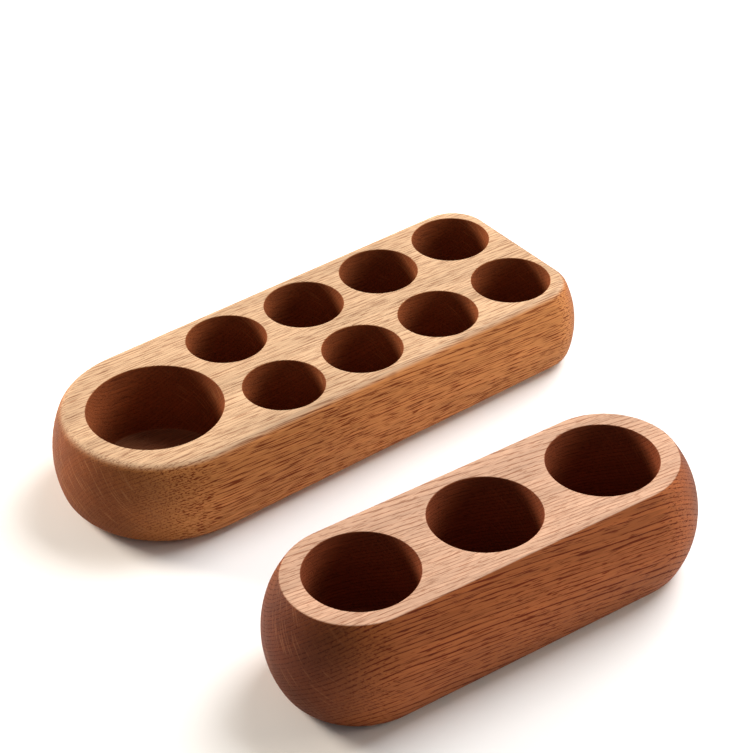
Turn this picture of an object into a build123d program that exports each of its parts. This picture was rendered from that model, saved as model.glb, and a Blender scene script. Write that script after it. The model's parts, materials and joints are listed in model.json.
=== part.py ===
from build123d import *
import os

# Egg holder tray: a matched pair of solid timber blocks with round flat-bottomed wells bored in
# their tops. Millimetres, +Z up, standing on z = 0. The origin is on the table, under the middle
# of the pair's bounding box. Each block is first made about its own first well's centre.

# Wells
EGG_WELL_R = 20.0
WIDE_WELL_R = 33.0
TRIO_WELL_R = 25.8
LARGE_WELL_DEPTH = 38.5
SMALL_WELL_DEPTH = 45.0
WELL_RIM_ROUND = 0.5

# Large block: one wide well at the rounded end, then two rows of egg wells
EGG_COLUMNS = 4
EGG_ROWS = 2
EGG_PITCH = 47.0
EGG_ROW_PITCH = 49.0
FIRST_EGG_X = 57.7
LARGE_HEIGHT = 45.2
LARGE_TOP_HALF = 49.0
LARGE_BELLY_HALF = 54.6
LARGE_BELLY_DROP = 26.5
LARGE_UNDER_HALF = 50.5
LARGE_TOP_ROUND = 5.6
LARGE_UNDER_ROUND = 8.0
LARGE_NOSE_X = 4.5
LARGE_END_X = 223.5
LARGE_CORNER_R = 18.5

# Small block: three wells in a row along a round-ended bar
TRIO_COUNT = 3
TRIO_PITCH = 65.0
SMALL_HEIGHT = 57.6
SMALL_TOP_HALF = 32.9
SMALL_BELLY_HALF = 42.2
SMALL_BELLY_DROP = 29.0
SMALL_UNDER_HALF = 34.4
SMALL_TOP_ROUND = 1.2
SMALL_UNDER_ROUND = 7.0
SMALL_NOSE_OUT = 2.6

# Non-slip pads: soft discs in shallow pockets bored under each block, a little proud of it
PAD_R = 6.0
POCKET_R = 6.2
PAD_THICK = 2.4
PAD_PROUD = 0.8
PAD_EDGE_ROUND = 0.4
LARGE_PAD_X = (-8.0, 207.0)
LARGE_PAD_Y = 33.0
SMALL_PAD_X = (-10.0, 140.0)
SMALL_PAD_Y = 16.0

# Where the pair stands: the wide well's centre from the origin, and the small block's first
# well's centre from that, turned a little as it would be put down by hand
WIDE_WELL_X = -89.5
WIDE_WELL_Y = 82.0
SMALL_OFFSET_X = -3.2
SMALL_OFFSET_Y = -167.6
SMALL_YAW = -3.3


def half_section(top_half, belly_half, belly_drop, under_half, height, top_round, under_round):
    """Half a block's cross section, out along X and up along Y: one bowed side, rounded edges."""
    level = Polyline((under_half, 0), (0, 0), (0, height), (top_half, height))
    side = ThreePointArc((top_half, height), (belly_half, height - belly_drop), (under_half, 0))
    section = make_face(level.edges() + side.edges())
    under_edge, top_edge = section.vertices().sort_by(Axis.X)[2:].sort_by(Axis.Y)
    section = fillet(under_edge, under_round)
    top_edge = section.vertices().sort_by(Axis.X)[2:].sort_by(Axis.Y)[-1]
    return fillet(top_edge, top_round)


def upright(section, x, y, heading):
    """The section stood up at a place in plan, its outward side pointing along the heading."""
    outward = Vector(1, 0, 0).rotate(Axis.Z, heading)
    sideways = Vector(0, -1, 0).rotate(Axis.Z, heading)
    return Plane(origin=(x, y, 0), x_dir=outward, z_dir=sideways) * section


def turned(section, x, y, heading, sweep):
    """The section turned about the vertical line at a place, from one heading onwards."""
    return revolve(upright(section, x, y, heading), Axis((x, y, 0), (0, 0, 1)), sweep)


def run(section, start, end, heading):
    """The section carried in a straight line from one place in plan to another."""
    length = (Vector(*end) - Vector(*start)).length
    return extrude(upright(section, *start, heading), -length)


def large_blank():
    """Round-nosed block with a flat end, whose corners are turned from the outer section."""
    section = half_section(
        LARGE_TOP_HALF, LARGE_BELLY_HALF, LARGE_BELLY_DROP, LARGE_UNDER_HALF, LARGE_HEIGHT,
        LARGE_TOP_ROUND, LARGE_UNDER_ROUND,
    )
    inset = LARGE_TOP_HALF - LARGE_CORNER_R
    outer = section & Pos(inset, 0) * Rectangle(inset, LARGE_HEIGHT, align=(Align.MIN, Align.MIN))
    corner = Pos(-inset, 0) * outer
    corner_x = LARGE_END_X - LARGE_CORNER_R
    blank = turned(section, LARGE_NOSE_X, 0, 90, 180)
    blank += run(section, (corner_x, 0), (LARGE_NOSE_X, 0), 90)
    blank += run(section, (LARGE_NOSE_X, 0), (corner_x, 0), -90)
    blank += run(corner, (corner_x, -inset), (corner_x, inset), 0)
    blank += turned(corner, corner_x, -inset, -90, 90)
    blank += turned(corner, corner_x, inset, 0, 90)
    return blank


def small_blank():
    """Round-ended bar: the section turned a little beyond the end wells and run between."""
    section = half_section(
        SMALL_TOP_HALF, SMALL_BELLY_HALF, SMALL_BELLY_DROP, SMALL_UNDER_HALF, SMALL_HEIGHT,
        SMALL_TOP_ROUND, SMALL_UNDER_ROUND,
    )
    start_x = -SMALL_NOSE_OUT
    end_x = (TRIO_COUNT - 1) * TRIO_PITCH + SMALL_NOSE_OUT
    blank = turned(section, start_x, 0, 90, 180) + turned(section, end_x, 0, -90, 180)
    blank += run(section, (end_x, 0), (start_x, 0), 90)
    blank += run(section, (start_x, 0), (end_x, 0), -90)
    return blank


def bored(blank, height, wells, depth):
    """The blank with its wells bored from the top and their rims eased."""
    for x, y, radius in wells:
        well = Cylinder(radius, depth, align=(Align.CENTER, Align.CENTER, Align.MAX))
        blank -= Pos(x, y, height) * well
    radii = {radius for x, y, radius in wells}
    top_edges = blank.faces().sort_by(Axis.Z)[-1].inner_wires().edges()
    rims = [edge for edge in top_edges if any(abs(edge.radius - r) < 0.01 for r in radii)]
    return fillet(rims, WELL_RIM_ROUND)


def pocketed(block, places):
    """The block with a shallow round pocket under it for each pad."""
    pocket_depth = PAD_THICK - PAD_PROUD
    for x, y in places:
        pocket = Cylinder(POCKET_R, pocket_depth, align=(Align.CENTER, Align.CENTER, Align.MIN))
        block -= Pos(x, y) * pocket
    return block


def pad(x, y):
    """One non-slip disc, its lower edge rounded, pressed up into its pocket."""
    disc = Cylinder(PAD_R, PAD_THICK, align=(Align.CENTER, Align.CENTER, Align.MIN))
    lower_edge = disc.edges().sort_by(Axis.Z)[0]
    return Pos(x, y, -PAD_PROUD) * fillet(lower_edge, PAD_EDGE_ROUND)


def large_wells():
    """Wells of the large block as x, y and radius: the wide one, then each column's pair."""
    wells = [(0, 0, WIDE_WELL_R)]
    for column in range(EGG_COLUMNS):
        for row in range(EGG_ROWS):
            y = (row - (EGG_ROWS - 1) / 2) * EGG_ROW_PITCH
            wells.append((FIRST_EGG_X + column * EGG_PITCH, y, EGG_WELL_R))
    return wells


def small_wells():
    """Wells of the small block, evenly spaced along it."""
    return [(i * TRIO_PITCH, 0, TRIO_WELL_R) for i in range(TRIO_COUNT)]


def corners(x_pair, y):
    """Four places in plan at two stations along a block, the same distance either side."""
    return [(x, side * y) for x in x_pair for side in (-1, 1)]


def write(name, shape):
    """One node's file."""
    shape.label = name
    export_step(shape, f"parts/{name}.step")


def write_block(name, blank, height, wells, depth, pad_places, stand):
    """One block and its pads, moved from the block's own frame to where it stands."""
    block = pocketed(bored(blank, height, wells, depth), pad_places)
    write(f"{name}_block", stand * block)
    for number, (x, y) in enumerate(pad_places, start=1):
        write(f"{name}_pad_{number}", stand * pad(x, y))


os.makedirs("parts", exist_ok=True)
large_stand = Pos(WIDE_WELL_X, WIDE_WELL_Y, PAD_PROUD)
small_stand = large_stand * Pos(SMALL_OFFSET_X, SMALL_OFFSET_Y) * Rot(0, 0, SMALL_YAW)
write_block(
    "nine_well", large_blank(), LARGE_HEIGHT, large_wells(), LARGE_WELL_DEPTH,
    corners(LARGE_PAD_X, LARGE_PAD_Y), large_stand,
)
write_block(
    "three_well", small_blank(), SMALL_HEIGHT, small_wells(), SMALL_WELL_DEPTH,
    corners(SMALL_PAD_X, SMALL_PAD_Y), small_stand,
)
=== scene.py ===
import json
import math

import bmesh
import bpy
import numpy as np
from mathutils import Matrix, Vector
from mathutils.geometry import delaunay_2d_cdt


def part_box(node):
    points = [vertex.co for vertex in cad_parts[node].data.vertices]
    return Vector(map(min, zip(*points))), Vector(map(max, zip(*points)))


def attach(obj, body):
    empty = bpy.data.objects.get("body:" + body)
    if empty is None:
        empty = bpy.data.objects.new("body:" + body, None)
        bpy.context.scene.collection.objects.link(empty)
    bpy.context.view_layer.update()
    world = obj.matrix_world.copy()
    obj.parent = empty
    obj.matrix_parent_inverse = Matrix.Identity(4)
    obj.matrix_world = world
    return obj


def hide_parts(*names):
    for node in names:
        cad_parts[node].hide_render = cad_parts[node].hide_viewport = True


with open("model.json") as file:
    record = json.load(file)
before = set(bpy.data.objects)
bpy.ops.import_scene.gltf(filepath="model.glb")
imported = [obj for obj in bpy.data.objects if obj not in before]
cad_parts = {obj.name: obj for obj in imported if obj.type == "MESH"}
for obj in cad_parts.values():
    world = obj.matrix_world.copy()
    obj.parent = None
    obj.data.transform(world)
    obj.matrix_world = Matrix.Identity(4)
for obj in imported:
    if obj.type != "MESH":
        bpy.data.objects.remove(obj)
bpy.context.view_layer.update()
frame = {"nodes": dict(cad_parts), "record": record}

# An egg holder tray: two oiled red oak blocks with round wells bored in their tops, standing on
# soft silicone pads. Lengths are in millimetres until a mesh is written, in metres.
MM = 0.001
MOUNTS = {mount["name"]: mount for mount in frame["record"]["mounts"]}

# Cross sections, from the table side up
LARGE = {
    "height": 45.2, "top_half": 49.0, "belly_half": 54.6, "belly_drop": 26.5,
    "under_half": 50.5, "top_round": 5.6, "under_round": 8.0,
}
SMALL = {
    "height": 57.6, "top_half": 32.9, "belly_half": 42.2, "belly_drop": 29.0,
    "under_half": 34.4, "top_round": 1.2, "under_round": 7.0,
}

# Plans, measured from each block's first well: the large block's nose and corners, and how far
# the small block's round ends are centred beyond its end wells
LARGE_NOSE_X = 4.5
LARGE_END_X = 223.5
LARGE_CORNER_R = 18.5
SMALL_NOSE_OUT = 2.6

# Bores
RIM_ROUND = 0.5
FLOOR_ROUND = 0.8
POCKET_CLEARANCE = 0.2
PAD_PROUD = 0.8

# How finely the surfaces are divided
NOSE_STEPS = 72
CORNER_STEPS = 20
FLANK_STEPS = 36
END_STEPS = 14
SIDE_ROWS = 26
ROUND_ROWS = 17
WELL_STEPS = 112
WALL_ROWS = 20
FLOOR_RINGS = 9
SHARP_ANGLE = math.radians(38)

# Small allowances: a face is level past this upward slope, the sides are kept back by a hair,
# points are inside a well within NEAR of it, and points nearer than WELD are one
LEVEL = 0.99999
KEPT_BACK = 0.02
NEAR = 0.01
WELD = 1e-4


# ---------------------------------------------------------------- shapes

def arc(centre, radius, start, end, count):
    """Points centre + radius (cos a, sin a) for count angles a from start to end."""
    a = np.linspace(start, end, count)
    return np.column_stack((centre[0] + radius * np.cos(a), centre[1] + radius * np.sin(a)))


def circle_through(points):
    """Centre and radius of the circle through three points: the two chord bisectors meet there."""
    p, q, s = np.asarray(points, float)
    chords = 2 * np.array((q - p, s - p))
    centre = np.linalg.solve(chords, (q @ q - p @ p, s @ s - p @ p))
    return centre, np.hypot(*(p - centre))


def side_profile(block):
    """Half section from the flat underside to the flat top, as (half width, height) pairs.

    The side is the arc through the top edge, the belly and the under edge. Each edge is rounded
    by a circle of radius q inside the side circle of radius R and on the level line: its centre
    stands q from the line and R - q from the side circle's centre.
    """
    height = block["height"]
    belly = (block["belly_half"], height - block["belly_drop"])
    centre, radius = circle_through(((block["top_half"], height), belly, (block["under_half"], 0)))
    rounds = []
    for q, level in ((block["under_round"], block["under_round"]),
                     (block["top_round"], height - block["top_round"])):
        reach = math.sqrt((radius - q) ** 2 - (level - centre[1]) ** 2)
        lean = math.atan2(level - centre[1], reach)
        rounds.append(((centre[0] + reach, level), q, lean))
    (under, under_q, under_lean), (top, top_q, top_lean) = rounds
    return np.vstack((
        arc(under, under_q, -math.pi / 2, under_lean, ROUND_ROWS)[:-1],
        arc(centre, radius, under_lean, top_lean, SIDE_ROWS),
        arc(top, top_q, top_lean, math.pi / 2, ROUND_ROWS)[1:],
    ))


def turn_stations(x, y, radius, start, end, count):
    """Plan stations round a fixed centre: rows of centre, unit outward direction and radius."""
    a = np.radians(np.linspace(start, end, count, endpoint=False))
    fixed = np.ones_like(a)
    return np.column_stack((x * fixed, y * fixed, np.cos(a), np.sin(a), radius * fixed))


def run_stations(start, end, outward, radius, count):
    """Plan stations along a straight line of centres that all face the same way."""
    t = np.linspace(0, 1, count, endpoint=False)[:, None]
    centres = np.asarray(start) * (1 - t) + np.asarray(end) * t
    rest = np.tile((*outward, radius), (count, 1))
    return np.hstack((centres, rest))


def large_plan():
    """Stations round the large block: nose, flank, corner, flat end, corner and flank."""
    half = LARGE["top_half"]
    corner_x = LARGE_END_X - LARGE_CORNER_R
    inset = half - LARGE_CORNER_R
    return np.vstack((
        turn_stations(LARGE_NOSE_X, 0, half, 90, 270, NOSE_STEPS),
        run_stations((LARGE_NOSE_X, 0), (corner_x, 0), (0, -1), half, FLANK_STEPS),
        turn_stations(corner_x, -inset, LARGE_CORNER_R, -90, 0, CORNER_STEPS),
        run_stations((corner_x, -inset), (corner_x, inset), (1, 0), LARGE_CORNER_R, END_STEPS),
        turn_stations(corner_x, inset, LARGE_CORNER_R, 0, 90, CORNER_STEPS),
        run_stations((corner_x, 0), (LARGE_NOSE_X, 0), (0, 1), half, FLANK_STEPS),
    ))


def small_plan(length):
    """Stations round the small block: a half turn just beyond each end well and two flanks."""
    half = SMALL["top_half"]
    start_x = -SMALL_NOSE_OUT
    end_x = length + SMALL_NOSE_OUT
    return np.vstack((
        turn_stations(start_x, 0, half, 90, 270, NOSE_STEPS),
        run_stations((start_x, 0), (end_x, 0), (0, -1), half, FLANK_STEPS),
        turn_stations(end_x, 0, half, -90, 90, NOSE_STEPS),
        run_stations((end_x, 0), (start_x, 0), (0, 1), half, FLANK_STEPS),
    ))


def grid_faces(rings, rows):
    """Quads of a grid of closed rings, each row of points joined to the next."""
    i, j = np.meshgrid(np.arange(rings), np.arange(rows - 1), indexing="ij")
    after = (i + 1) % rings
    quads = (i * rows + j, after * rows + j, after * rows + j + 1, i * rows + j + 1)
    return np.stack(quads, axis=-1).reshape(-1, 4)


def swept_side(plan, profile, top_half):
    """The side: at station i and row j, centre_i + outward_i (radius_i + width_j - top_half).

    It is kept back by a hair so that the block stays inside its nominal size.
    """
    reach = plan[:, 4:5] + profile[None, :, 0] - top_half - KEPT_BACK
    x = plan[:, 0:1] + plan[:, 2:3] * reach
    y = plan[:, 1:2] + plan[:, 3:4] * reach
    z = np.broadcast_to(profile[:, 1], x.shape)
    points = np.stack((x, y, z), axis=-1)
    return points, grid_faces(*x.shape)


def bore(x, y, mouth, radius, depth, rim):
    """A blind round bore opening upwards, or downwards where the depth is negative.

    A profile of radius against depth is turned about the bore's axis: a quarter round at the
    rim (none where rim is 0), the straight wall, a small round into the floor, and rings in to
    the centre.
    """
    way = math.copysign(1, depth)
    deep = abs(depth)
    quarter = np.linspace(0, math.pi / 2, 6)
    eased = np.column_stack((radius + rim - rim * np.sin(quarter), rim - rim * np.cos(quarter)))
    wall = np.column_stack((
        np.full(WALL_ROWS, radius), np.linspace(rim, deep - FLOOR_ROUND, WALL_ROWS),
    ))
    foot = np.column_stack((
        radius - FLOOR_ROUND + FLOOR_ROUND * np.cos(quarter),
        deep - FLOOR_ROUND + FLOOR_ROUND * np.sin(quarter),
    ))
    flat = np.linspace(radius - FLOOR_ROUND, 0, FLOOR_RINGS)[1:]
    floor = np.column_stack((flat, np.full_like(flat, deep)))
    profile = np.vstack((wall[:-1], foot[:-1], floor))
    if rim:
        profile = np.vstack((eased[:-1], profile))
    a = np.linspace(0, 2 * math.pi, WELL_STEPS, endpoint=False)[::-1] * way
    points = np.stack((
        x + np.cos(a)[:, None] * profile[None, :, 0],
        y + np.sin(a)[:, None] * profile[None, :, 0],
        np.broadcast_to(mouth - way * profile[:, 1], (WELL_STEPS, len(profile))),
    ), axis=-1)
    return points, grid_faces(WELL_STEPS, len(profile))


def flat_face(outline, holes, level, facing):
    """A level face inside a convex outline, cut round each hole: triangles between the rings."""
    rings = [outline] + [hole[:, :2] for hole in holes]
    spots = np.vstack(rings)
    edges = []
    first = 0
    for ring in rings:
        index = first + np.arange(len(ring))
        edges += np.column_stack((index, np.roll(index, -1))).tolist()
        first += len(ring)
    spots_2d = [Vector(spot) for spot in spots.tolist()]
    found = delaunay_2d_cdt(spots_2d, edges, [], 1, 1e-6)
    flat = np.array([tuple(spot) for spot in found[0]])
    faces = np.array(found[2])
    middle = flat[faces].mean(axis=1)
    kept = np.ones(len(faces), bool)
    for hole in holes:
        centre = hole[:, :2].mean(axis=0)
        radius = np.hypot(*(hole[0, :2] - centre))
        kept &= np.hypot(*(middle - centre).T) > radius
    faces = faces[kept]
    a, b, c = (flat[faces[:, k]] for k in range(3))
    turn = np.cross(b - a, c - a) * facing
    faces[turn < 0] = faces[turn < 0][:, ::-1]
    points = np.column_stack((flat, np.full(len(flat), level)))
    return points, faces


def block_piece(name, plan, block, wells, pockets, place):
    """One bored block as a single closed mesh, placed by a matrix in metres.

    Wells are (x, y, radius, depth) and pockets (x, y, radius, depth), in the block's own plan.
    """
    profile = side_profile(block)
    side, side_faces = swept_side(plan, profile, block["top_half"])
    parts = [(side.reshape(-1, 3), side_faces)]
    mouths = {"top": [], "under": []}
    for x, y, radius, depth in wells:
        points, faces = bore(x, y, block["height"], radius, depth, RIM_ROUND)
        parts.append((points.reshape(-1, 3), faces))
        mouths["top"].append(points[:, 0])
    for x, y, radius, depth in pockets:
        points, faces = bore(x, y, 0, radius, -depth, 0)
        parts.append((points.reshape(-1, 3), faces))
        mouths["under"].append(points[:, 0])
    parts.append(flat_face(side[:, -1, :2], mouths["top"], block["height"], 1))
    parts.append(flat_face(side[:, 0, :2], mouths["under"], 0, -1))

    mesh = bpy.data.meshes.new(name)
    points = np.vstack([part[0] for part in parts])
    faces = []
    first = 0
    for part_points, part_faces in parts:
        faces += (part_faces + first).tolist()
        first += len(part_points)
    mesh.from_pydata(points.tolist(), [], faces)
    shell = bmesh.new()
    shell.from_mesh(mesh)
    bmesh.ops.remove_doubles(shell, verts=shell.verts, dist=WELD)
    bmesh.ops.recalc_face_normals(shell, faces=shell.faces)
    shell.to_mesh(mesh)
    shell.free()

    # How far inside a bored well each point is, the mask of the painted shade in the wells: 0 on
    # the outside, 1 once past the eased rim
    at = np.empty(len(mesh.vertices) * 3)
    mesh.vertices.foreach_get("co", at)
    at = at.reshape(-1, 3)
    bored = np.zeros(len(at))
    for x, y, radius, depth in wells:
        within = np.hypot(at[:, 0] - x, at[:, 1] - y) < radius + RIM_ROUND + NEAR
        within &= at[:, 2] > block["height"] - depth - NEAR
        bored[within] = np.clip((block["height"] - at[within, 2]) / RIM_ROUND, 0, 1)
    mesh.attributes.new("bored", "FLOAT", "POINT").data.foreach_set("value", bored)

    mesh.transform(place @ Matrix.Scale(MM, 4))
    facing = np.empty(len(mesh.polygons) * 3)
    mesh.polygons.foreach_get("normal", facing)
    mesh.polygons.foreach_set("use_smooth", np.abs(facing[2::3]) < LEVEL)
    mesh.set_sharp_from_angle(angle=SHARP_ANGLE)
    piece = bpy.data.objects.new(name, mesh)
    bpy.context.scene.collection.objects.link(piece)
    return piece


# ---------------------------------------------------------------- materials

# Sizes of the oak's patterns, as lengths along, across and up through the grain
DRIFT_MM = (120, 38, 38)
RIPPLE_MM = (26, 9, 9)
FIBRE_MM = (34, 0.9, 0.9)
CLOUD_MM = (110, 22, 22)
UNEVEN_PER_MM = 0.11
PORE_DEPTH_MM = 0.12


def linear(hex_colour):
    """An sRGB hex colour as linear red, green, blue and alpha."""
    parts = [int(hex_colour[i:i + 2], 16) / 255 for i in (1, 3, 5)]
    return [c / 12.92 if c <= 0.04045 else ((c + 0.055) / 1.055) ** 2.4 for c in parts] + [1.0]


def add(tree, kind, settings=None, inputs=None, out=0):
    """Adds a node with its settings and its linked or plain inputs, and gives one output."""
    made = tree.nodes.new("ShaderNode" + kind)
    for name, value in (settings or {}).items():
        setattr(made, name, value)
    for name, value in (inputs or {}).items():
        if isinstance(value, bpy.types.NodeSocket):
            tree.links.new(value, made.inputs[name])
        else:
            made.inputs[name].default_value = value
    return made.outputs[out] if made.outputs else None


def new_material(name):
    """An empty material, its node tree and its object coordinates."""
    material = bpy.data.materials.new(name)
    material.use_nodes = True
    tree = material.node_tree
    tree.nodes.clear()
    return material, tree, add(tree, "TexCoord", out="Object")


def oiled_oak(name, wood):
    """Red oak, planed, sanded and rubbed with oil, as one solid pattern through a block.

    Growth rings are cylinders about a pith outside the block, drifting a little along it. Each
    ring starts with a band of open pores, long tubes along the grain, and thin rays stand across
    the rings. A surface cuts the tubes as dashes along the grain and as dots across it. Oil sinks
    into end grain, which turns darker. The bored walls are painted dark as the shade deep in the
    wells, the top is painted pale as sheen and light from above, and the sides darker as shade.
    """
    material, tree, here = new_material(name)
    heading = math.radians(wood["heading"])
    grain = add(tree, "Mapping", {"vector_type": "TEXTURE"}, {
        "Vector": here,
        "Location": [c * MM for c in wood["pith"]],
        "Rotation": (0, math.radians(wood["dip"]), math.radians(wood["yaw"])),
        "Scale": (MM, MM, MM),
    })

    # A long drift and a short ripple bend the grain by up to a few millimetres
    for size, amount in ((DRIFT_MM, wood["drift"]), (RIPPLE_MM, wood["ripple"])):
        spread = add(tree, "VectorMath", {"operation": "MULTIPLY"},
                     {0: grain, 1: [1 / length for length in size]})
        cloud = add(tree, "TexNoise", None, {"Vector": spread, "Scale": 1, "Detail": 1}, "Color")
        push = add(tree, "VectorMath", {"operation": "MULTIPLY_ADD"}, {
            0: cloud, 1: (0, amount, amount), 2: (0, -amount / 2, -amount / 2),
        })
        grain = add(tree, "VectorMath", {"operation": "ADD"}, {0: grain, 1: push})

    # Growth rings, by distance from the pith: each year has its own strength and tone
    across = add(tree, "VectorMath", {"operation": "MULTIPLY"}, {0: grain, 1: (0, 1, 1)})
    radius = add(tree, "VectorMath", {"operation": "LENGTH"}, {0: across}, "Value")
    uneven = add(tree, "TexNoise", {"noise_dimensions": "1D"}, {
        "W": add(tree, "Math", {"operation": "MULTIPLY"}, {0: radius, 1: UNEVEN_PER_MM}),
        "Scale": 1, "Detail": 0,
    })
    ring = add(tree, "Math", {"operation": "MULTIPLY_ADD"}, {
        0: radius, 1: 1 / wood["ring_mm"],
        2: add(tree, "Math", {"operation": "MULTIPLY"}, {0: uneven, 1: wood["uneven"]}),
    })
    phase = add(tree, "Math", {"operation": "FRACT"}, {0: ring})
    year = add(tree, "TexWhiteNoise", {"noise_dimensions": "1D"}, {
        "W": add(tree, "Math", {"operation": "FLOOR"}, {0: ring}),
    })
    rise = add(tree, "MapRange", {"interpolation_type": "SMOOTHSTEP"},
               {0: phase, 1: 0.0, 2: 0.12, 3: 0.0, 4: 1.0})
    fall = add(tree, "MapRange", {"interpolation_type": "SMOOTHSTEP"},
               {0: phase, 1: wood["early"][0], 2: wood["early"][1], 3: 1.0, 4: 0.0})
    early = add(tree, "Math", {"operation": "MULTIPLY"}, {0: rise, 1: fall})
    strong = add(tree, "MapRange", None, {0: year, 1: 0.0, 2: 1.0, 3: wood["lean_year"], 4: 1.1})
    early = add(tree, "Math", {"operation": "MULTIPLY"}, {0: early, 1: strong})

    # Open pores crowd into the first wood of each ring. Real ones are 0.3 mm wide, and they are
    # drawn two or three times as wide, so that they show
    pores = []
    for size, low, high, crowd in wood["pores"]:
        spread = add(tree, "VectorMath", {"operation": "MULTIPLY"},
                     {0: grain, 1: [1 / length for length in size]})
        speck = add(tree, "TexNoise", None, {"Vector": spread, "Scale": 1, "Detail": 1.2})
        speck = add(tree, "Math", {"operation": "MULTIPLY_ADD"}, {0: early, 1: crowd, 2: speck})
        pores.append(add(tree, "MapRange", {"interpolation_type": "SMOOTHSTEP"},
                         {0: speck, 1: low, 2: high, 3: 0.0, 4: 1.0}))
    pore = add(tree, "Math", {"operation": "MAXIMUM"}, {0: pores[0], 1: pores[1]})

    # Rays: thin plates along the grain and across the rings
    parts = add(tree, "SeparateXYZ", None, {0: grain}).node.outputs
    angle = add(tree, "Math", {"operation": "ARCTAN2"}, {0: parts[1], 1: parts[2]})
    plates = add(tree, "CombineXYZ", None, {
        0: add(tree, "Math", {"operation": "MULTIPLY"}, {0: parts[0], 1: 1 / wood["ray_mm"][0]}),
        1: add(tree, "Math", {"operation": "MULTIPLY"}, {0: radius, 1: 1 / wood["ray_mm"][1]}),
        2: add(tree, "Math", {"operation": "MULTIPLY"}, {0: angle, 1: wood["rays_round"]}),
    })
    ray = add(tree, "TexNoise", None, {"Vector": plates, "Scale": 1, "Detail": 0.5})
    ray = add(tree, "MapRange", {"interpolation_type": "SMOOTHSTEP"},
              {0: ray, 1: 0.58, 2: 0.74, 3: 0.0, 4: 1.0})

    # Fibres and broad clouds of colour
    mottles = []
    for size, detail in ((FIBRE_MM, 3), (CLOUD_MM, 2)):
        spread = add(tree, "VectorMath", {"operation": "MULTIPLY"},
                     {0: grain, 1: [1 / length for length in size]})
        mottles.append(add(tree, "TexNoise", None,
                           {"Vector": spread, "Scale": 1, "Detail": detail}))
    fibre, broad = mottles

    # Which way the surface faces: 1 where it looks up, where the top's painted light and sheen go,
    # and 1 where the saw crossed the grain
    facing = add(tree, "TexCoord", out="Normal")
    along = (math.cos(heading), math.sin(heading), 0)
    upward = add(tree, "VectorMath", {"operation": "DOT_PRODUCT"}, {0: facing, 1: (0, 0, 1)},
                 "Value")
    painted_top_light = add(tree, "MapRange", {"interpolation_type": "SMOOTHSTEP"},
             {0: upward, 1: wood["painted_top_light_from"][0], 2: wood["painted_top_light_from"][1], 3: 0.0, 4: 1.0})
    endwise = add(tree, "VectorMath", {"operation": "DOT_PRODUCT"}, {0: facing, 1: along},
                  "Value")
    endwise = add(tree, "Math", {"operation": "ABSOLUTE"}, {0: endwise})
    end = add(tree, "MapRange", {"interpolation_type": "SMOOTHSTEP"},
              {0: endwise, 1: 0.25, 2: 0.95, 3: 0.0, 4: 1.0})
    # The mask that carries the painted shade inside the wells
    bored = add(tree, "Attribute", {"attribute_name": "bored"}, None, "Fac")

    # The painted shade of the wells is lighter on a well's up-facing floor than on its wall
    floor_shade_share = add(tree, "MapRange", None, {0: painted_top_light, 1: 0.0, 2: 1.0, 3: 1.0, 4: wood["floor"]})
    painted_well_shade = add(tree, "Math", {"operation": "MULTIPLY"}, {0: bored, 1: floor_shade_share})
    # Painted light: the pale top tone on up-facing faces stands in for sheen and light from above,
    # the side tone below it for shade, and the well tone for the shade deep in the wells
    tone = linear(wood["side"])
    for amount, other in ((painted_top_light, wood["top"]), (end, wood["end"]), (painted_well_shade, wood["bored"])):
        tone = add(tree, "Mix", {"data_type": "RGBA"},
                   {0: amount, 6: tone, 7: linear(other)}, 2)

    # Shade of the clear wood: each year, its first wood, fibres and clouds
    shade = add(tree, "MapRange", None, {0: year, 1: 0.0, 2: 1.0, 3: 0.93, 4: 1.05})
    for amount, low, high, least, most in (
            (early, 0.0, 1.0, 1.0, 1 - wood["band"]),
            (fibre, 0.3, 0.7, 1 - wood["fibre"], 1 + wood["fibre"]),
            (broad, 0.3, 0.7, 0.86, 1.12)):
        change = add(tree, "MapRange", None, {0: amount, 1: low, 2: high, 3: least, 4: most})
        shade = add(tree, "Math", {"operation": "MULTIPLY"}, {0: shade, 1: change})
    colour = add(tree, "VectorMath", {"operation": "SCALE"}, {0: tone, "Scale": shade})

    # Pores darken the sides more than the top, where a painted sheen washes them out, and rays
    # show pale on the ends
    depth = add(tree, "MapRange", None,
                {0: painted_top_light, 1: 0.0, 2: 1.0, 3: wood["pore_side"], 4: wood["pore_top_under_sheen"]})
    dark = add(tree, "Math", {"operation": "MULTIPLY"}, {0: pore, 1: depth})
    cut = add(tree, "Math", {"operation": "MAXIMUM"}, {0: end, 1: bored})
    faint = add(tree, "MapRange", None, {0: cut, 1: 0.0, 2: 1.0, 3: 1.0, 4: wood["pore_end"]})
    dark = add(tree, "Math", {"operation": "MULTIPLY"}, {0: dark, 1: faint})
    colour = add(tree, "Mix", {"data_type": "RGBA", "blend_type": "MULTIPLY"},
                 {0: dark, 6: colour, 7: linear(wood["pore"])}, 2)
    pale = add(tree, "MapRange", None, {0: end, 1: 0.0, 2: 1.0, 3: 0.0, 4: wood["ray_end"]})
    pale = add(tree, "Math", {"operation": "MULTIPLY"}, {0: ray, 1: pale})
    colour = add(tree, "Mix", {"data_type": "RGBA"},
                 {0: pale, 6: colour, 7: linear(wood["ray"])}, 2)
    plain = add(tree, "Math", {"operation": "SUBTRACT"}, {0: 1.0, 1: end})
    streak = add(tree, "Math", {"operation": "MULTIPLY"}, {0: ray, 1: plain})
    streak = add(tree, "Math", {"operation": "MULTIPLY"}, {0: streak, 1: wood["ray_side"]})
    colour = add(tree, "Mix", {"data_type": "RGBA", "blend_type": "MULTIPLY"},
                 {0: streak, 6: colour, 7: linear(wood["pore"])}, 2)

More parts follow.
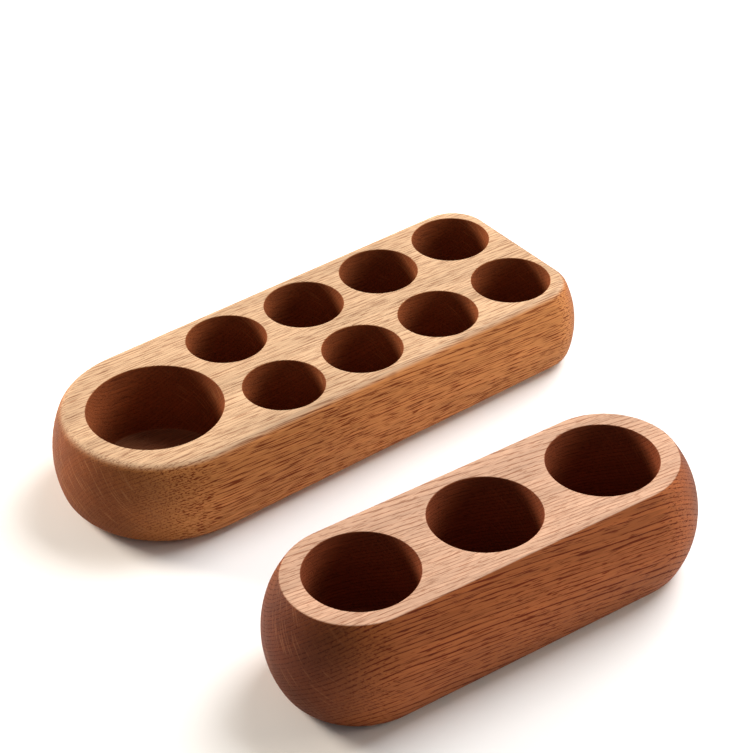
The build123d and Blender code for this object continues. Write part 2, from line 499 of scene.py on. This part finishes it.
    # Oil leaves the closed wood at a low sheen, and the open pores matt
    matt = add(tree, "MapRange", None, {0: pore, 1: 0.0, 2: 1.0, 3: wood["rough"], 4: 0.75})
    relief = add(tree, "Math", {"operation": "MULTIPLY_ADD"}, {
        0: pore, 1: -1.0,
        2: add(tree, "Math", {"operation": "MULTIPLY"}, {0: fibre, 1: 0.35}),
    })
    surface = add(tree, "Bump", None,
                  {"Strength": 0.6, "Distance": PORE_DEPTH_MM * MM, "Height": relief})
    shader = add(tree, "BsdfPrincipled", None, {
        "Base Color": colour, "Roughness": matt, "IOR": 1.46, "Specular IOR Level": 0.16,
        "Normal": surface,
    })
    add(tree, "OutputMaterial", None, {"Surface": shader})
    return material


def moulded_silicone(name):
    """Milky silicone rubber from a sparked mould: matt, faintly mottled, with a fine grain."""
    material, tree, here = new_material(name)
    milky = add(tree, "TexNoise", None, {"Vector": here, "Scale": 260, "Detail": 3})
    colour = add(tree, "Mix", {"data_type": "RGBA"},
                 {0: milky, 6: linear("#C9C2B4"), 7: linear("#D8D2C7")}, 2)
    spark = add(tree, "TexNoise", None, {"Vector": here, "Scale": 2200, "Detail": 2})
    surface = add(tree, "Bump", None,
                  {"Strength": 0.35, "Distance": 0.05 * MM, "Height": spark})
    shader = add(tree, "BsdfPrincipled", None, {
        "Base Color": colour, "Roughness": 0.62, "IOR": 1.41, "Subsurface Weight": 0.15,
        "Subsurface Radius": (0.002, 0.0018, 0.0015), "Normal": surface,
    })
    add(tree, "OutputMaterial", None, {"Surface": shader})
    return material


def painted_board(name):
    """Matt white emulsion on a smooth board: almost white, with a hardly visible mottle."""
    material, tree, here = new_material(name)
    mottle = add(tree, "TexNoise", None, {"Vector": here, "Scale": 3, "Detail": 2})
    colour = add(tree, "Mix", {"data_type": "RGBA"},
                 {0: mottle, 6: linear("#F2F1EF"), 7: linear("#F5F4F3")}, 2)
    shader = add(tree, "BsdfPrincipled", None, {
        "Base Color": colour, "Roughness": 0.9, "Specular IOR Level": 0.2,
    })
    add(tree, "OutputMaterial", None, {"Surface": shader})
    return material


# ---------------------------------------------------------------- pieces

def well_centre(name):
    """Plan position of a well's axis, in millimetres."""
    return np.array(MOUNTS[name]["pos_m"][:2]) / MM


def in_plan(spot, start, heading):
    """How far a spot is along and across a block that starts at a well and heads off."""
    along = np.array((math.cos(heading), math.sin(heading)))
    across = np.array((-along[1], along[0]))
    return (spot - start) @ along, (spot - start) @ across


def wells_of(names, start, heading):
    """Wells as (x, y, radius, depth) in a block's own plan, from the mounts inside them."""
    wells = []
    for name in names:
        size = MOUNTS[name]["dims"]
        x, y = in_plan(well_centre(name), start, heading)
        wells.append((x, y, size["r_mm"], size["length_mm"] + RIM_ROUND))
    return wells


def pockets_of(names, start, heading):
    """Pad pockets as (x, y, radius, depth) in the same plan, from each pad's own box."""
    pockets = []
    for name in names:
        low, high = (np.array(corner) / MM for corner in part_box(name))
        x, y = in_plan((low + high)[:2] / 2, start, heading)
        radius = (high[0] - low[0]) / 2 + POCKET_CLEARANCE
        pockets.append((x, y, radius, high[2] - PAD_PROUD))
    return pockets


def stand(start, heading):
    """The matrix that stands a block on its pads at a place in plan, turned to its heading."""
    place = Matrix.Translation((start[0] * MM, start[1] * MM, PAD_PROUD * MM))
    return place @ Matrix.Rotation(heading, 4, "Z")


large_start = well_centre("wide_well")
large_names = ["wide_well"] + [name for name in MOUNTS if name.startswith("egg_well")]
large_pads = [name for name in frame["nodes"] if name.startswith("nine_well_pad")]
large_block = block_piece(
    "large_oak_block", large_plan(), LARGE, wells_of(large_names, large_start, 0),
    pockets_of(large_pads, large_start, 0), stand(large_start, 0),
)
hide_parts("nine_well_block")
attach(large_block, "large_block")

small_start = well_centre("trio_well_1")
small_span = well_centre("trio_well_3") - small_start
small_heading = math.atan2(small_span[1], small_span[0])
small_names = [name for name in MOUNTS if name.startswith("trio_well")]
small_pads = [name for name in frame["nodes"] if name.startswith("three_well_pad")]
small_block = block_piece(
    "small_oak_block", small_plan(np.hypot(*small_span)), SMALL,
    wells_of(small_names, small_start, small_heading),
    pockets_of(small_pads, small_start, small_heading), stand(small_start, small_heading),
)
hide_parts("three_well_block")
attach(small_block, "small_block")


# ---------------------------------------------------------------- finishes

# In each: where the pith runs, the block's heading and the grain's yaw and dip in degrees, how
# much the grain wanders, the rings' width and unevenness, the part of a ring where its pores end,
# each pore size with where it starts, where it is full and how much it crowds, how strongly pores
# and rays show, and the oiled colours, of which the top tone is painted sheen and light, the side
# tone painted shade, and the tone inside the wells painted shade

# The large block: rings tilted to the top, thin crowded pores, a soft honey colour
HONEY = {
    "pith": (-10, -33, -66), "heading": 0, "yaw": -2.5, "dip": 2.5, "drift": 4, "ripple": 0.35,
    "ring_mm": 1.35, "uneven": 2.2, "early": (0.16, 0.5), "lean_year": 0.75,
    "band": 0.10, "fibre": 0.10, "painted_top_light_from": (0.6, 0.98),
    "pores": (((28, 0.64, 0.64), 0.59, 0.7, 0.12), ((14, 0.5, 0.5), 0.55, 0.7, 0.07)),
    "pore_side": 1.0, "pore_top_under_sheen": 0.6, "pore_end": 0.35, "pore": "#A0765A",
    "ray_mm": (11, 12), "rays_round": 210, "ray": "#B0784A", "ray_end": 0.35, "ray_side": 0.3,
    # Painted light: the top tone is a pale painted sheen, the side tone painted shade and the tone
    # inside the wells painted shade
    "top": "#C09E7D", "side": "#BA7A43", "end": "#7E4119", "bored": "#894A28", "floor": 0.86,
    "rough": 0.58,
}

# The small block: its grain leans more, with long dark streaks, and its colour is redder
RUSSET = {
    "pith": (-30, -30, 112), "heading": -3.3, "yaw": -6.6, "dip": 4.4, "drift": 3.5, "ripple": 0.5,
    "ring_mm": 1.7, "uneven": 1.2, "early": (0.12, 0.42), "lean_year": 0.75,
    "band": 0.12, "fibre": 0.12, "painted_top_light_from": (0.7, 1.0),
    "pores": (((24, 1.1, 1.1), 0.65, 0.76, 0.31), ((8, 0.5, 0.5), 0.57, 0.72, 0.07)),
    "pore_side": 1.0, "pore_top_under_sheen": 0.55, "pore_end": 0.5, "pore": "#AA7C55",
    "ray_mm": (9, 14), "rays_round": 130, "ray": "#9A5E3C", "ray_end": 0.35, "ray_side": 0.2,
    # Painted light: the top tone is a pale painted sheen, the side tone painted shade and the tone
    # inside the wells painted shade
    "top": "#BE977D", "side": "#985429", "end": "#632D11", "bored": "#824226", "floor": 0.86,
    "rough": 0.58,
}

large_block.data.materials.append(oiled_oak("oiled_red_oak_honey", HONEY))
small_block.data.materials.append(oiled_oak("oiled_red_oak_russet", RUSSET))

silicone = moulded_silicone("moulded_silicone")
for name in large_pads + small_pads:
    pad = frame["nodes"][name]
    pad.data.materials.clear()
    pad.data.materials.append(silicone)


# ---------------------------------------------------------------- floor, light and camera

# The floor is a hair below the pads, so that no two faces lie in one plane
FLOOR_DROP = 0.05 * MM
FLOOR_HALF = 5.0
FLOOR_CELLS = 8
AMBIENT = 0.17


def level_sheet(name, half, steps):
    """A level square sheet of steps x steps cells about the origin, from -half to half."""
    side = np.linspace(-half, half, steps + 1)
    x, y = np.meshgrid(side, side, indexing="ij")
    points = np.stack((x, y, np.full_like(x, -FLOOR_DROP)), axis=-1).reshape(-1, 3)
    i, j = np.meshgrid(np.arange(steps), np.arange(steps), indexing="ij")
    corner = i * (steps + 1) + j
    quads = np.stack((corner, corner + steps + 1, corner + steps + 2, corner + 1), axis=-1)
    mesh = bpy.data.meshes.new(name)
    mesh.from_pydata(points.tolist(), [], quads.reshape(-1, 4).tolist())
    sheet = bpy.data.objects.new(name, mesh)
    bpy.context.scene.collection.objects.link(sheet)
    return sheet


def soft_light(name, heading, height, away, size, watts, colour):
    """A square soft box that looks at the middle of the tray.

    Its heading and height are in degrees, and its distance and size in metres.
    """
    h, e = math.radians(heading), math.radians(height)
    way = Vector((math.cos(e) * math.cos(h), math.cos(e) * math.sin(h), math.sin(e)))
    lamp = bpy.data.lights.new(name, "AREA")
    lamp.shape = "SQUARE"
    lamp.size = size
    lamp.energy = watts
    lamp.color = linear(colour)[:3]
    box = bpy.data.objects.new(name, lamp)
    turn = way.to_track_quat("Z", "Y").to_matrix().to_4x4()
    box.matrix_world = Matrix.Translation(way * away) @ turn
    bpy.context.scene.collection.objects.link(box)


floor = level_sheet("studio_floor", FLOOR_HALF, FLOOR_CELLS)
floor.data.materials.append(painted_board("white_emulsion"))

soft_light("key", heading=5, height=48, away=1.6, size=1.2, watts=41, colour="#FFFFFF")
soft_light("right_fill", heading=-42, height=22, away=1.0, size=0.4, watts=3.4, colour="#FFEFDC")
soft_light("left_rim", heading=115, height=22, away=1.5, size=0.5, watts=32, colour="#FFF2E2")

world = bpy.data.worlds.new("studio")
world.use_nodes = True
backdrop = world.node_tree.nodes["Background"]
backdrop.inputs["Color"].default_value = linear("#FFFFFF")
backdrop.inputs["Strength"].default_value = AMBIENT
bpy.context.scene.world = world
bpy.context.scene.view_settings.view_transform = "Standard"

# The camera stands at the front left and looks down over both blocks
LENS = 114.36
CAMERA_AT = (-0.53915, -0.71223, 0.72688)
HEADING = math.radians(53.851)
DOWNWARD = math.radians(36.355)
ROLL = math.radians(1.819)

forward = Vector((
    math.cos(DOWNWARD) * math.cos(HEADING),
    math.cos(DOWNWARD) * math.sin(HEADING),
    -math.sin(DOWNWARD),
))
level = forward.cross(Vector((0, 0, 1))).normalized()
below = forward.cross(level)
rightward = level * math.cos(ROLL) + below * math.sin(ROLL)
upward = level * math.sin(ROLL) - below * math.cos(ROLL)
lens = bpy.data.cameras.new("camera")
lens.sensor_width = 36
lens.lens = LENS
camera = bpy.data.objects.new("camera", lens)
camera.matrix_world = Matrix.Translation(CAMERA_AT) @ Matrix(
    (rightward, upward, -forward)).transposed().to_4x4()
bpy.context.scene.collection.objects.link(camera)
bpy.context.scene.camera = camera
